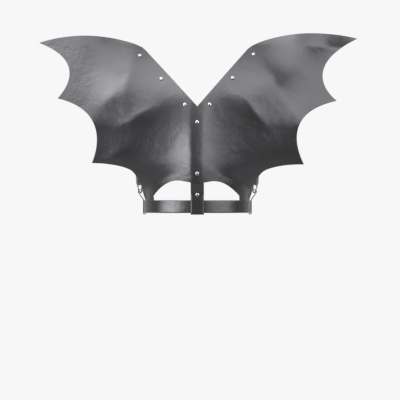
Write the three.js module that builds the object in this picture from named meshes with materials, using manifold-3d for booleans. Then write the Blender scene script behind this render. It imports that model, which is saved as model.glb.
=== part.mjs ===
// Bat wing back harness: a cut leather panel with two wings, riveted to leather straps that run over the
// shoulders and round the waist. Millimetres, +Z up, +X to the right seen from behind, and -Y at the back.
// The origin is midway between the shoulder straps, level with the underside of their crests.
import * as THREE from 'three';
import { mergeVertices } from 'three/addons/utils/BufferGeometryUtils.js';
import Module from 'manifold-3d';

const wasm = await Module();
wasm.setup();

// Leather and fit
const GAP = 0.3;
const LAYER_GAP = 0.45;
const PANEL_THICKNESS = 1.8;
const STRAP_THICKNESS = 2;
const STRAP_WIDTH = 28;
const BELT_THICKNESS = 2.2;
const BELT_HEIGHT = 28;

// Panel: the neckline is a V, and below its point both wings share one centre line.
const PANEL_COLUMNS = 16;
const COLUMN_GROWTH = 1.27;
const NECK_POINT_Z = -127.5;
const WINGS = {
  left: { sign: -1, neckX: 116, neckZ: 2, tipX: 350, tipZ: 17, topBend1: [146, 30], topBend2: [262, 48] },
  right: { sign: 1, neckX: 112, neckZ: 4, tipX: 356, tipZ: 28, topBend1: [148, 38], topBend2: [270, 52] },
};

// Each band of a wing runs down from the band above it to an inner end and an outer end. The outer edge is a
// cubic curve with two bends, and so is the inner edge where the bottom of the panel arches.
const BANDS = {
  left: [
    { cells: 10, inner: [0, -127.5], outer: [306, -108], outerBend1: [272, -13], outerBend2: [265, -60] },
    { cells: 9, inner: [0, -240], outer: [231, -250], outerBend1: [210, -132], outerBend2: [209, -198] },
    { cells: 4, inner: [0, -296], outer: [150, -263], outerBend1: [203, -250], outerBend2: [170, -254] },
    {
      cells: 8, inner: [97, -322], innerBend1: [30, -292], innerBend2: [58, -272],
      outer: [118.5, -318], outerBend1: [136, -269], outerBend2: [124, -292],
    },
    { cells: 3, inner: [94, -350], outer: [111, -350], outerBend1: [115.5, -329], outerBend2: [113, -338] },
  ],
  right: [
    { cells: 10, inner: [0, -127.5], outer: [306, -113], outerBend1: [277, -9], outerBend2: [250, -64] },
    { cells: 9, inner: [0, -240], outer: [234, -253], outerBend1: [202, -137], outerBend2: [207, -200] },
    { cells: 4, inner: [0, -296], outer: [150, -265], outerBend1: [205, -252], outerBend2: [170, -256] },
    {
      cells: 8, inner: [93, -322], innerBend1: [27, -293], innerBend2: [49, -275],
      outer: [118.5, -318], outerBend1: [136, -271], outerBend2: [124, -294],
    },
    { cells: 3, inner: [94, -350], outer: [111, -350], outerBend1: [115.5, -329], outerBend2: [113, -338] },
  ],
};

// The panel's middle follows the back, row by row of height: an ellipse of the given half width and depth,
// which the leather leaves along a tangent where it has covered the given share of the half width.
const BACK_SECTIONS = [
  { z: 60, halfWidth: 150, depth: -14, leave: 0.2 },
  { z: 20, halfWidth: 150, depth: 13, leave: 0.2 },
  { z: 0, halfWidth: 150, depth: 31, leave: 0.2 },
  { z: -30, halfWidth: 150, depth: 56, leave: 0.2 },
  { z: -60, halfWidth: 150, depth: 73.5, leave: 0.14 },
  { z: -95, halfWidth: 150, depth: 86, leave: 0.1 },
  { z: -127, halfWidth: 150, depth: 91.5, leave: 0.08 },
  { z: -172, halfWidth: 148, depth: 93.5, leave: 0.08 },
  { z: -230, halfWidth: 138, depth: 91.5, leave: 0.14 },
  { z: -270, halfWidth: 130, depth: 89.5, leave: 0.32 },
  { z: -300, halfWidth: 122, depth: 88.5, leave: 0.82 },
  { z: -318, halfWidth: 117, depth: 85.6, leave: 0.975 },
  { z: -327, halfWidth: 115.7, depth: 83.5, leave: 0.99 },
  { z: -360, halfWidth: 115.7, depth: 83.5, leave: 0.99 },
];

// The wings stand away from the back in a shallow sweep, and lean forward above and below a ridge.
const WING_ROOT = { x: 150, depth: 88, blendFrom: 132, blendTo: 266 };
const WING_SWEEP = { left: 0.02, right: 0.07 };
const WING_LEAN = { left: 0.27, right: 0.29 };
const RIDGE = { z: -166, softness: 3, leanBelow: 0.2 };

// Folds and dents of the leather: a ridge at (x, z), turned from level, with its half length, the widths of
// its flanks and of half its flat top, the softness of its edges, and its height towards the back. All of
// them fade out above the belt, where the tabs lie flat inside it.
const FOLD_FADE = { none: -328, full: -296 };
const FOLDS = [
  { name: 'left band', x: -146, z: -28, turn: 80, length: 70, width: 24, flat: 0, soft: 8, height: 8 },
  { name: 'left ridge', x: -190, z: -106, turn: 52, length: 50, width: 26, flat: 0, soft: 6, height: 4 },
  { name: 'left crease', x: -126, z: -146, turn: 27, length: 45, width: 22, flat: 0, soft: 3, height: 7 },
  { name: 'left bulge', x: -180, z: -236, turn: 35, length: 32, width: 18, flat: 0, soft: 8, height: 4 },
  { name: 'right crease', x: 112, z: -124, turn: 131, length: 52, width: 24, flat: 0, soft: 4, height: 7 },
  { name: 'right lobe', x: 140, z: -90, turn: 131, length: 45, width: 34, flat: 0, soft: 30, height: 5 },
  { name: 'right ridge', x: 177, z: -82, turn: 122, length: 75, width: 28, flat: 0, soft: 8, height: 6.5 },
  { name: 'right tip dent', x: 295, z: 8, turn: -5, length: 50, width: 24, flat: 0, soft: 6, height: -12 },
  { name: 'spine', x: -1.5, z: -215, turn: 90, length: 120, width: 40, flat: 13.5, soft: 2, height: 9 },
  { name: 'spine swell', x: -13, z: -215, turn: 90, length: 120, width: 36, flat: 0, soft: 14, height: 5 },
  { name: 'spine foot', x: -2, z: -280, turn: 90, length: 60, width: 65, flat: 13, soft: 5, height: 7 },
];

// Straps under the panel, measured along the V from its point, and the shoulder straps' way over the shoulder
// and down the front to the side rings: centre of the strap, its outward direction and its width.
const STRAP_INSET = 17.5;
const STRAP_START = 7;
const STRAP_LEAVES_PANEL = 178;
const STRAP_STEP = 17;
const NECK_RIVETS = [21, 99, 171];
const SHOULDER_ROUTE = [
  { x: 135.5, y: 0, z: 7, outX: 0.3, outY: 0, outZ: 0.95, width: 28 },
  { x: 140, y: 25, z: -6, outX: 0.35, outY: 0.55, outZ: 0.75, width: 28 },
  { x: 141, y: 48, z: -45, outX: 0.4, outY: 0.88, outZ: 0.25, width: 28 },
  { x: 138, y: 62, z: -110, outX: 0.45, outY: 0.89, outZ: 0.05, width: 28 },
  { x: 134, y: 60, z: -175, outX: 0.55, outY: 0.83, outZ: -0.05, width: 28 },
  { x: 133, y: 38, z: -225, outX: 0.8, outY: 0.58, outZ: -0.15, width: 24 },
];
const ROUTE_STEPS = 4;
const FINE_SPANS = 4;

// Side rings, the strap ends folded round them, and the loops that hold them to the belt
const RING = { x: 128.9, y: 3, z: -303, radius: 11.4, wire: 1.6, lean: 0.2, turnBack: 22 };
const RING_STEPS = { round: 20, wire: 8 };
const STRAP_END_WIDTH = 13;
const EYE = { radius: 3.2, drop: 2.3, layer: 1.15, closed: 14, end: 28, rivet: 21 };
const EYE_FLARE = { height: 6, layer: 2.3 };
const SIDE_LOOP = { width: 11, thickness: 1.8, eyeRadius: 4.7, eyeRise: 0.9, aboveBelt: 1, turnSteps: 8 };
const FOLD_STEPS = 6;

// Waist belt, a whole elliptical loop, with a plain clasp at the front
const BELT = { halfWidth: 118.4, halfDepth: 86.2, z: -345.6, steps: 60 };
const CLASP = { length: 30, height: 35, wall: 2, slotSpare: 0.4 };

// Centre strap: under the panel, in to the belt and over it, round its lower edge and up behind it. The
// heights above the belt's upper edge are where it comes in, meets the belt, leaves it and closes on itself.
const CENTRE_STRAP = { width: 29, top: -148, panelEnd: -288, panelSteps: 10, foldTop: -309, sagRadius: 162 };
const ABOVE_BELT = { comesIn: 16, meets: 2, leaves: 1, closes: 7 };
const CENTRE_RIVETS = [-162, -274];
const BELT_RIVET_Z = -319.5;

// Rivets: a domed head outside, a post, and a flat cap inside
const RIVET = {
  seat: 0.45, postRadius: 1.5, headRadius: 4.5, headHeight: 2.4, rim: 0.7, capRadius: 3.6, capHeight: 1,
};
const DOME = [
  { radius: 1, rise: 0 },
  { radius: 0.78, rise: 0.62 },
  { radius: 0.42, rise: 0.92 },
  { radius: 0, rise: 1 },
];
const RIVET_SIDES = 9;
const HOLE_RADIUS = RIVET.postRadius + GAP;

const LEATHER = { color: 0x1d1d1f, roughness: 0.5, metalness: 0 };
const METAL = { color: 0xc9cacc, roughness: 0.28, metalness: 1 };
const MERGE_DISTANCE = 1e-3;
const SLOPE_STEP = 0.05;

// The tables above measure heights from the neckline's corners. The group sets the straps' crests on z = 0.
const object = new THREE.Group();
const harness = new THREE.Group();
harness.position.z = -(SHOULDER_ROUTE[0].z - STRAP_THICKNESS / 2);
object.add(harness);

function addMesh(name, geometry, finish) {
  const mesh = new THREE.Mesh(geometry, new THREE.MeshStandardMaterial(finish));
  mesh.name = name;
  harness.add(mesh);
  return mesh;
}

// A smooth curve through one column of a table that is sorted by falling z
function columnAt(table, column, z) {
  const last = table.length - 1;
  const clamped = THREE.MathUtils.clamp(z, table[last].z, table[0].z);
  let row = 0;
  while (row < last - 1 && clamped < table[row + 1].z) {
    row += 1;
  }
  const slope = (k) => {
    const before = table[Math.max(k - 1, 0)];
    const after = table[Math.min(k + 1, last)];
    return (after[column] - before[column]) / (after.z - before.z);
  };
  const [from, to] = [table[row], table[row + 1]];
  const span = to.z - from.z;
  const t = (clamped - from.z) / span;
  const rise = t * t * (3 - 2 * t);
  const leaving = t * (1 - t) * (1 - t) * span * slope(row);
  const arriving = t * t * (1 - t) * span * slope(row + 1);
  return from[column] + (to[column] - from[column]) * rise + leaving - arriving;
}

function softRamp(value, softness) {
  return softness * Math.log(1 + Math.exp(value / softness));
}

function backDepth(x, z) {
  const leave = columnAt(BACK_SECTIONS, 'leave', z);
  const share = Math.abs(x) / columnAt(BACK_SECTIONS, 'halfWidth', z);
  const onBody = Math.min(share, leave);
  const round = Math.sqrt(1 - onBody * onBody);
  const tangent = (share - onBody) * (onBody / round);
  return -columnAt(BACK_SECTIONS, 'depth', z) * (round - tangent);
}

function wingDepth(x, z) {
  const side = x < 0 ? 'left' : 'right';
  const above = WING_LEAN[side] * softRamp(z - RIDGE.z, RIDGE.softness);
  const below = RIDGE.leanBelow * softRamp(RIDGE.z - z, RIDGE.softness);
  return -WING_ROOT.depth + WING_SWEEP[side] * (Math.abs(x) - WING_ROOT.x) + above + below;
}

function foldHeight(x, z) {
  let height = 0;
  for (const fold of FOLDS) {
    const turn = THREE.MathUtils.degToRad(fold.turn);
    const along = (x - fold.x) * Math.cos(turn) + (z - fold.z) * Math.sin(turn);
    const across = (z - fold.z) * Math.cos(turn) - (x - fold.x) * Math.sin(turn);
    const edges = Math.hypot(across - fold.flat, fold.soft) + Math.hypot(across + fold.flat, fold.soft);
    const fall = (edges / 2 - Math.hypot(fold.flat, fold.soft)) / fold.width;
    height += fold.height * Math.exp(-((along / fold.length) ** 2) - fall);
  }
  return height * THREE.MathUtils.smoothstep(z, FOLD_FADE.none, FOLD_FADE.full);
}

function panelY(x, z) {
  const blend = THREE.MathUtils.smootherstep(Math.abs(x), WING_ROOT.blendFrom, WING_ROOT.blendTo);
  return THREE.MathUtils.lerp(backDepth(x, z), wingDepth(x, z), blend) - foldHeight(x, z);
}

// Direction out of the panel's back face, from its slopes over the given distance to each side of (x, z)
function panelNormal(x, z, distance = SLOPE_STEP) {
  const slopeX = (panelY(x + distance, z) - panelY(x - distance, z)) / (2 * distance);
  const slopeZ = (panelY(x, z + distance) - panelY(x, z - distance)) / (2 * distance);
  return new THREE.Vector3(slopeX, -1, slopeZ).normalize();
}

function panelPoint(x, z, offset) {
  return new THREE.Vector3(x, panelY(x, z), z).addScaledVector(panelNormal(x, z), offset);
}

// Closed wall from rows of points on its outer and inner faces. edgeNeeded says where the wall's first side
// has an edge of its own, and a closed wall joins its last row to its first.
function wallTriangles(rows, { flip = false, loop = false, edgeNeeded = () => true } = {}) {
  const corners = [];
  const quad = (a, b, c, d) => {
    const turned = flip ? [a, c, b, b, c, d] : [a, b, c, b, d, c];
    for (const corner of turned) {
      corners.push(corner.x, corner.y, corner.z);
    }
  };
  const last = rows[0].outer.length - 1;
  const steps = loop ? rows.length : rows.length - 1;
  for (let i = 0; i < steps; i += 1) {
    const here = rows[i];
    const next = rows[(i + 1) % rows.length];
    for (let j = 0; j < last; j += 1) {
      quad(here.outer[j], here.outer[j + 1], next.outer[j], next.outer[j + 1]);
      quad(here.inner[j + 1], here.inner[j], next.inner[j + 1], next.inner[j]);
    }
    if (edgeNeeded(i)) {
      quad(here.inner[0], here.outer[0], next.inner[0], next.outer[0]);
    }
    quad(here.outer[last], here.inner[last], next.outer[last], next.inner[last]);
  }
  if (!loop) {
    const [first, end] = [rows[0], rows[rows.length - 1]];
    for (let j = 0; j < last; j += 1) {
      quad(first.inner[j], first.inner[j + 1], first.outer[j], first.outer[j + 1]);
      quad(end.outer[j], end.outer[j + 1], end.inner[j], end.inner[j + 1]);
    }
  }
  return corners;
}

function closedGeometry(corners) {
  const geometry = new THREE.BufferGeometry();
  geometry.setAttribute('position', new THREE.Float32BufferAttribute(corners, 3));
  return mergeVertices(geometry, MERGE_DISTANCE);
}

function toSolid(geometry) {
  const bare = geometry.clone();
  bare.deleteAttribute('normal');
  bare.deleteAttribute('uv');
  const merged = mergeVertices(bare, MERGE_DISTANCE);
  const vertProperties = new Float32Array(merged.attributes.position.array);
  const triVerts = new Uint32Array(merged.index.array);
  return new wasm.Manifold(new wasm.Mesh({ numProp: 3, vertProperties, triVerts }));
}

function fromSolid(solid) {
  const mesh = solid.getMesh();
  const geometry = new THREE.BufferGeometry();
  geometry.setAttribute('position', new THREE.BufferAttribute(new Float32Array(mesh.vertProperties), 3));
  geometry.setIndex(new THREE.BufferAttribute(new Uint32Array(mesh.triVerts), 1));
  return geometry;
}

// Rivet seats: the middle of the grip, the direction of the head and the thickness of leather gripped
const HOLE_LENGTH = 12;
function drill(geometry, seats) {
  let solid = toSolid(geometry);
  for (const seat of seats) {
    const bit = new THREE.CylinderGeometry(HOLE_RADIUS, HOLE_RADIUS, HOLE_LENGTH, RIVET_SIDES);
    bit.applyQuaternion(headwards(seat.out));
    bit.translate(seat.middle.x, seat.middle.y, seat.middle.z);
    solid = solid.subtract(toSolid(bit));
  }
  return fromSolid(solid);
}

function headwards(out) {
  return new THREE.Quaternion().setFromUnitVectors(new THREE.Vector3(0, 1, 0), out);
}

function addRivet(name, seat) {
  const head = seat.grip / 2 + RIVET.seat;
  const { headRadius, headHeight, rim, postRadius, capRadius, capHeight } = RIVET;
  const profile = [
    [0, -head - capHeight],
    [capRadius, -head - capHeight],
    [capRadius, -head],
    [postRadius, -head],
    [postRadius, head],
    [headRadius, head],
    ...DOME.map((row) => [headRadius * row.radius, head + rim + (headHeight - rim) * row.rise]),
  ].map(([radius, height]) => new THREE.Vector2(radius, height));
  const rivet = addMesh(name, new THREE.LatheGeometry(profile, RIVET_SIDES), METAL);
  rivet.position.copy(seat.middle);
  rivet.quaternion.copy(headwards(seat.out));
}

// Leather layers under the panel: the strap's middle lies this far inside the panel's middle.
const STRAP_OFFSET = -(PANEL_THICKNESS / 2 + LAYER_GAP + STRAP_THICKNESS / 2);
const PANEL_GRIP = PANEL_THICKNESS + LAYER_GAP + STRAP_THICKNESS;

// A rivet's seat on the panel, square to the leather under its whole head
function panelSeat(x, z) {
  const middle = panelPoint(x, z, PANEL_THICKNESS / 2 - PANEL_GRIP / 2);
  return { middle, out: panelNormal(x, z, RIVET.headRadius), grip: PANEL_GRIP };
}

// A place on the wing's V: along it from the neck point, and inset from it
function neckPlace(wing, along, inset) {
  const length = Math.hypot(wing.neckX, wing.neckZ - NECK_POINT_Z);
  const [dirX, dirZ] = [wing.neckX / length, (wing.neckZ - NECK_POINT_Z) / length];
  return {
    x: wing.sign * (along * dirX + inset * dirZ),
    z: NECK_POINT_Z + along * dirZ - inset * dirX,
  };
}

function edgeCurve(from, bend1, bend2, to) {
  const third = (share) => from.map((value, k) => THREE.MathUtils.lerp(value, to[k], share));
  const points = [from, bend1 ?? third(1 / 3), bend2 ?? third(2 / 3), to];
  return new THREE.CubicBezierCurve(...points.map(([x, z]) => new THREE.Vector2(x, z)));
}

// Rows across one wing from its inner to its outer edge. The top edge's rise fades out down the wing.
function wingRows(side) {
  const wing = WINGS[side];
  const [neck, tip] = [[wing.neckX, wing.neckZ], [wing.tipX, wing.tipZ]];
  const topEdge = edgeCurve(neck, wing.topBend1, wing.topBend2, tip);
  const ends = [];
  let [inner, outer] = [neck, tip];
  for (const band of BANDS[side]) {
    const innerEdge = edgeCurve(inner, band.innerBend1, band.innerBend2, band.inner);
    const outerEdge = edgeCurve(outer, band.outerBend1, band.outerBend2, band.outer);
    for (let k = ends.length === 0 ? 0 : 1; k <= band.cells; k += 1) {
      ends.push([innerEdge.getPoint(k / band.cells), outerEdge.getPoint(k / band.cells)]);
    }
    [inner, outer] = [band.inner, band.outer];
  }
  const fadeRows = BANDS[side][0].cells + BANDS[side][1].cells;
  return ends.map(([from, to], row) => {
    const fade = Math.max(0, 1 - row / fadeRows) ** 2;
    const places = [];
    for (let column = 0; column <= PANEL_COLUMNS; column += 1) {
      const share = (column / PANEL_COLUMNS) ** COLUMN_GROWTH;
      const chord = new THREE.Vector2(...neck).lerp(new THREE.Vector2(...tip), share);
      const rise = topEdge.getPoint(share).sub(chord).multiplyScalar(fade);
      places.push(from.clone().lerp(to, share).add(rise));
    }
    const face = (offset) => places.map((place) => panelPoint(wing.sign * place.x, place.y, offset));
    return { outer: face(PANEL_THICKNESS / 2), inner: face(-PANEL_THICKNESS / 2), onCentre: from.x === 0 };
  });
}

function wingPanel(seats) {
  const corners = [];
  for (const side of ['left', 'right']) {
    const rows = wingRows(side);
    const edgeNeeded = (i) => !(rows[i].onCentre && rows[i + 1].onCentre);
    corners.push(...wallTriangles(rows, { flip: side === 'right', edgeNeeded }));
  }
  addMesh('wing_panel', drill(closedGeometry(corners), seats), LEATHER);
}

// Rows of a strap whose middle runs through points, with the direction of its width at each of them
function strapRows(stations, cells) {
  return stations.map(({ middle, across, width, bend = () => 0 }, k) => {
    const before = stations[Math.max(k - 1, 0)].middle;
    const after = stations[Math.min(k + 1, stations.length - 1)].middle;
    const along = after.clone().sub(before).normalize();
    const out = across.clone().cross(along).normalize();
    const face = (offset) => {
      const points = [];
      for (let j = 0; j <= cells; j += 1) {
        const shift = (j / cells - 0.5) * width;
        const point = middle.clone().addScaledVector(across, shift).addScaledVector(out, offset);
        point.y += bend(shift);
        points.push(point);
      }
      return points;
    };
    return { outer: face(STRAP_THICKNESS / 2), inner: face(-STRAP_THICKNESS / 2) };
  });
}

const STRAP_CELLS = 4;

// A strap's row across the given places, where it lies against the inside of the panel
function laidRow(places) {
  const face = (offset) => places.map(({ x, z }) => panelPoint(x, z, STRAP_OFFSET + offset));
  return { outer: face(STRAP_THICKNESS / 2), inner: face(-STRAP_THICKNESS / 2) };
}

function underPanelRows(wing) {
  const rows = [];
  const steps = Math.round((STRAP_LEAVES_PANEL - STRAP_START) / STRAP_STEP);
  for (let k = 0; k <= steps; k += 1) {
    const along = THREE.MathUtils.lerp(STRAP_START, STRAP_LEAVES_PANEL, k / steps);
    const places = [];
    for (let j = 0; j <= STRAP_CELLS; j += 1) {
      const shift = (j / STRAP_CELLS - 0.5) * STRAP_WIDTH;
      places.push(neckPlace(wing, along, STRAP_INSET + wing.sign * shift));
    }
    rows.push(laidRow(places));
  }
  return rows;
}

// The ring's frame: its middle, the direction up through it, the direction out of its plane, and across it
function ringFrame(sign) {
  const turn = THREE.MathUtils.degToRad(RING.turnBack);
  const middle = new THREE.Vector3(sign * RING.x, RING.y, RING.z);
  const up = new THREE.Vector3(sign * RING.lean, 0, 1).normalize();
  const out = new THREE.Vector3(sign * Math.cos(turn), -Math.sin(turn), 0);
  out.addScaledVector(up, -out.dot(up)).normalize();
  return { middle, up, out, across: up.clone().cross(out) };
}

function ringPlace(frame, height, outwards) {
  return frame.middle.clone().addScaledVector(frame.up, height).addScaledVector(frame.out, outwards);
}

// The strap end in the ring's frame: down its outer layer, round the wire and up its inner layer
function foldedEnd(frame) {
  const top = RING.radius;
  const turn = top - EYE.drop;
  const layer = [
    [top + EYE.end, EYE.layer],
    [top + EYE.closed, EYE.layer],
    [top + EYE_FLARE.height, EYE_FLARE.layer],
    [top, EYE.radius],
  ];
  const path = [...layer];
  for (let k = 0; k <= FOLD_STEPS; k += 1) {
    const angle = (Math.PI * k) / FOLD_STEPS;
    path.push([turn - EYE.radius * Math.sin(angle), EYE.radius * Math.cos(angle)]);
  }
  path.push(...layer.map(([height, outwards]) => [height, -outwards]).reverse());
  const across = frame.across.clone().negate();
  return path.map(([height, outwards]) => (
    { middle: ringPlace(frame, height, outwards), across, width: STRAP_END_WIDTH }
  ));
}

function strapEndSeat(sign) {
  const frame = ringFrame(sign);
  const middle = ringPlace(frame, RING.radius + EYE.rivet, 0);
  return { middle, out: frame.out, grip: 2 * (EYE.layer + STRAP_THICKNESS / 2) };
}

function shoulderStrap(side, seats) {
  const wing = WINGS[side];
  const underPanel = underPanelRows(wing);
  const half = STRAP_CELLS / 2;
  const middleOf = (row) => row.outer[half].clone().lerp(row.inner[half], 0.5);
  const outOf = (row) => row.outer[half].clone().sub(row.inner[half]).normalize();
  const frame = ringFrame(wing.sign);
  const folded = foldedEnd(frame);
  const lastRows = underPanel.slice(-2);
  const controls = [
    ...lastRows.map((row) => ({ middle: middleOf(row), out: outOf(row), width: STRAP_WIDTH })),
    ...SHOULDER_ROUTE.map((row) => ({
      middle: new THREE.Vector3(wing.sign * row.x, row.y, row.z),
      out: new THREE.Vector3(wing.sign * row.outX, row.outY, row.outZ).normalize(),
      width: row.width,
    })),
    ...folded.slice(0, 2).map((row) => ({ middle: row.middle, out: frame.out, width: row.width })),
  ];
  const curve = new THREE.CatmullRomCurve3(controls.map((row) => row.middle), false, 'centripetal');
  const spans = controls.length - 1;
  const free = [];
  const everyStepBelow = FINE_SPANS * ROUTE_STEPS;
  for (let k = ROUTE_STEPS + 1; k < (spans - 1) * ROUTE_STEPS; k += k < everyStepBelow ? 1 : 2) {
    const t = k / (spans * ROUTE_STEPS);
    const [from, to] = [controls[Math.floor(k / ROUTE_STEPS)], controls[Math.floor(k / ROUTE_STEPS) + 1]];
    const share = (k % ROUTE_STEPS) / ROUTE_STEPS;
    const out = from.out.clone().lerp(to.out, share);
    const across = curve.getTangent(t).cross(out).normalize();
    const width = THREE.MathUtils.lerp(from.width, to.width, share);
    free.push({ middle: curve.getPoint(t), across, width });
  }
  const rows = [...underPanel, ...strapRows([...free, ...folded], STRAP_CELLS)];
  const geometry = closedGeometry(wallTriangles(rows));
  addMesh(`shoulder_strap_${side}`, drill(geometry, seats), LEATHER);
}

function centreStrap(seats) {
  const laid = [];
  for (let k = 0; k <= CENTRE_STRAP.panelSteps; k += 1) {
    const z = THREE.MathUtils.lerp(CENTRE_STRAP.top, CENTRE_STRAP.panelEnd, k / CENTRE_STRAP.panelSteps);
    const places = [];
    for (let j = 0; j <= STRAP_CELLS; j += 1) {
      places.push({ x: (0.5 - j / STRAP_CELLS) * CENTRE_STRAP.width, z });
    }
    laid.push(laidRow(places));
  }
  const reach = BELT_THICKNESS / 2 + GAP + STRAP_THICKNESS / 2;
  const [front, behind] = [-BELT.halfDepth - reach, -BELT.halfDepth + reach];
  const closed = front + STRAP_THICKNESS + GAP;
  const beltTop = BELT.z + BELT_HEIGHT / 2;
  const beltBottom = BELT.z - BELT_HEIGHT / 2 - GAP;
  const path = [[front, beltTop + ABOVE_BELT.comesIn], [front, beltTop + ABOVE_BELT.meets], [front, BELT.z]];
  for (let k = 0; k <= FOLD_STEPS; k += 1) {
    const angle = (Math.PI * k) / FOLD_STEPS;
    path.push([-BELT.halfDepth - reach * Math.cos(angle), beltBottom - reach * Math.sin(angle)]);
  }
  path.push([behind, BELT.z], [behind, beltTop + ABOVE_BELT.leaves]);
  path.push([closed, beltTop + ABOVE_BELT.closes], [closed, CENTRE_STRAP.foldTop]);
  const across = new THREE.Vector3(-1, 0, 0);
  const bend = (shift) => (shift * shift) / (2 * CENTRE_STRAP.sagRadius);
  const stations = path.map(([y, z]) => (
    { middle: new THREE.Vector3(0, y, z), across, width: CENTRE_STRAP.width, bend }
  ));
  const geometry = closedGeometry(wallTriangles([...laid, ...strapRows(stations, STRAP_CELLS)]));
  addMesh('centre_strap', drill(geometry, seats), LEATHER);
}

function beltFoldSeat() {
  const reach = BELT_THICKNESS / 2 + GAP + STRAP_THICKNESS / 2;
  const y = -BELT.halfDepth - reach + (STRAP_THICKNESS + GAP) / 2;
  const middle = new THREE.Vector3(0, y, BELT_RIVET_Z);
  return { middle, out: new THREE.Vector3(0, -1, 0), grip: 2 * STRAP_THICKNESS + GAP };
}

function waistBelt() {
  const rows = [];
  for (let k = 0; k < BELT.steps; k += 1) {
    const angle = (2 * Math.PI * k) / BELT.steps;
    const [right, front] = [Math.cos(angle), Math.sin(angle)];
    const middle = new THREE.Vector2(BELT.halfWidth * right, BELT.halfDepth * front);
    const out = new THREE.Vector2(right / BELT.halfWidth, front / BELT.halfDepth).normalize();
    const face = (offset) => [1, -1].map((end) => {
      const place = middle.clone().addScaledVector(out, offset);
      return new THREE.Vector3(place.x, place.y, BELT.z + (end * BELT_HEIGHT) / 2);
    });
    rows.push({ outer: face(BELT_THICKNESS / 2), inner: face(-BELT_THICKNESS / 2) });
  }
  addMesh('waist_belt', closedGeometry(wallTriangles(rows, { loop: true })), LEATHER);
}

function rectangle(path, left, right, bottom, top) {
  path.moveTo(left, bottom);
  path.lineTo(right, bottom);
  path.lineTo(right, top);
  path.lineTo(left, top);
  path.closePath();
  return path;
}

// A sleeve round the belt at the front, drawn in the YZ plane and extruded along X
function beltClasp() {
  const bow = BELT.halfDepth * (1 - Math.sqrt(1 - (CLASP.length / 2 / BELT.halfWidth) ** 2));
  const back = BELT.halfDepth - BELT_THICKNESS / 2 - bow - CLASP.slotSpare;
  const front = BELT.halfDepth + BELT_THICKNESS / 2 + CLASP.slotSpare;
  const slot = BELT_HEIGHT / 2 + CLASP.slotSpare;
  const half = CLASP.height / 2;
  const section = rectangle(new THREE.Shape(), back - CLASP.wall, front + CLASP.wall, -half, half);
  section.holes.push(rectangle(new THREE.Path(), back, front, -slot, slot));
  const geometry = new THREE.ExtrudeGeometry(section, { depth: CLASP.length, bevelEnabled: false });
  geometry.translate(0, 0, -CLASP.length / 2);
  const toWorld = new THREE.Matrix4().makeBasis(
    new THREE.Vector3(0, 1, 0),
    new THREE.Vector3(0, 0, 1),
    new THREE.Vector3(1, 0, 0),
  );
  const clasp = addMesh('belt_clasp', geometry.applyMatrix4(toWorld), METAL);
  clasp.position.z = BELT.z;
}

function sideRing(side) {
  const frame = ringFrame(WINGS[side].sign);
  const wire = new THREE.TorusGeometry(RING.radius, RING.wire, RING_STEPS.wire, RING_STEPS.round);
  const ring = addMesh(`side_ring_${side}`, wire, METAL);
  const basis = new THREE.Matrix4().makeBasis(frame.across, frame.up, frame.out);
  ring.quaternion.setFromRotationMatrix(basis);
  ring.position.copy(frame.middle);
}

// Outline of a side loop in the XZ plane: round the belt's lower edge, up past it, and round the ring's wire
function loopOutline(path, beltX, lower, upper, spread) {
  const beltBottom = BELT.z - BELT_HEIGHT / 2 - GAP;
  const beltTop = BELT.z + BELT_HEIGHT / 2 + SIDE_LOOP.aboveBelt;
  const points = [];
  for (let k = 0; k <= SIDE_LOOP.turnSteps; k += 1) {
    const angle = Math.PI + (Math.PI * k) / SIDE_LOOP.turnSteps;
    const radius = lower + spread;
    points.push([beltX + radius * Math.cos(angle), beltBottom + radius * Math.sin(angle)]);
  }
  points.push([beltX + lower + spread, beltTop]);
  for (let k = 0; k <= SIDE_LOOP.turnSteps; k += 1) {
    const angle = (Math.PI * k) / SIDE_LOOP.turnSteps;
    const radius = SIDE_LOOP.eyeRadius + spread;
    points.push([upper.x + radius * Math.cos(angle), upper.y + radius * Math.sin(angle)]);
  }
  points.push([beltX - lower - spread, beltTop]);
  points.forEach(([x, z], k) => (k === 0 ? path.moveTo(x, z) : path.lineTo(x, z)));
  path.closePath();
  return path;
}

function sideLoop(side) {
  const { sign } = WINGS[side];
  const frame = ringFrame(sign);
  const wire = ringPlace(frame, -RING.radius, 0);
  const upper = new THREE.Vector2(wire.x, wire.z + SIDE_LOOP.eyeRise);
  const farEdge = RING.y + SIDE_LOOP.width / 2;
  const bow = BELT.halfWidth * (1 - Math.sqrt(1 - (farEdge / BELT.halfDepth) ** 2));
  const lower = (BELT_THICKNESS + bow) / 2 + GAP;
  const beltX = sign * (BELT.halfWidth - bow / 2);
  const section = loopOutline(new THREE.Shape(), beltX, lower, upper, SIDE_LOOP.thickness);
  section.holes.push(loopOutline(new THREE.Path(), beltX, lower, upper, 0));
  const geometry = new THREE.ExtrudeGeometry(section, { depth: SIDE_LOOP.width, bevelEnabled: false });
  geometry.rotateX(Math.PI / 2);
  geometry.translate(0, farEdge, 0);
  addMesh(`side_loop_${side}`, geometry, LEATHER);
}

const neckSeats = {};
for (const side of ['left', 'right']) {
  neckSeats[side] = NECK_RIVETS.map((along) => {
    const place = neckPlace(WINGS[side], along, STRAP_INSET);
    return panelSeat(place.x, place.z);
  });
}
const centreSeats = CENTRE_RIVETS.map((z) => panelSeat(0, z));

wingPanel([...neckSeats.left, ...neckSeats.right, ...centreSeats]);
centreStrap([...centreSeats, beltFoldSeat()]);
waistBelt();
beltClasp();
for (const side of ['left', 'right']) {
  const endSeat = strapEndSeat(WINGS[side].sign);
  shoulderStrap(side, [...neckSeats[side], endSeat]);
  sideRing(side);
  sideLoop(side);
  neckSeats[side].forEach((seat, k) => addRivet(`rivet_neck_${side}_${k + 1}`, seat));
  addRivet(`rivet_strap_end_${side}`, endSeat);
}
centreSeats.forEach((seat, k) => addRivet(`rivet_centre_${k + 1}`, seat));
addRivet('rivet_belt', beltFoldSeat());

export default object;
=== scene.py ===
"""Bat wing back harness: black leather wings on straps, with nickel rivets and rings."""

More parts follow.
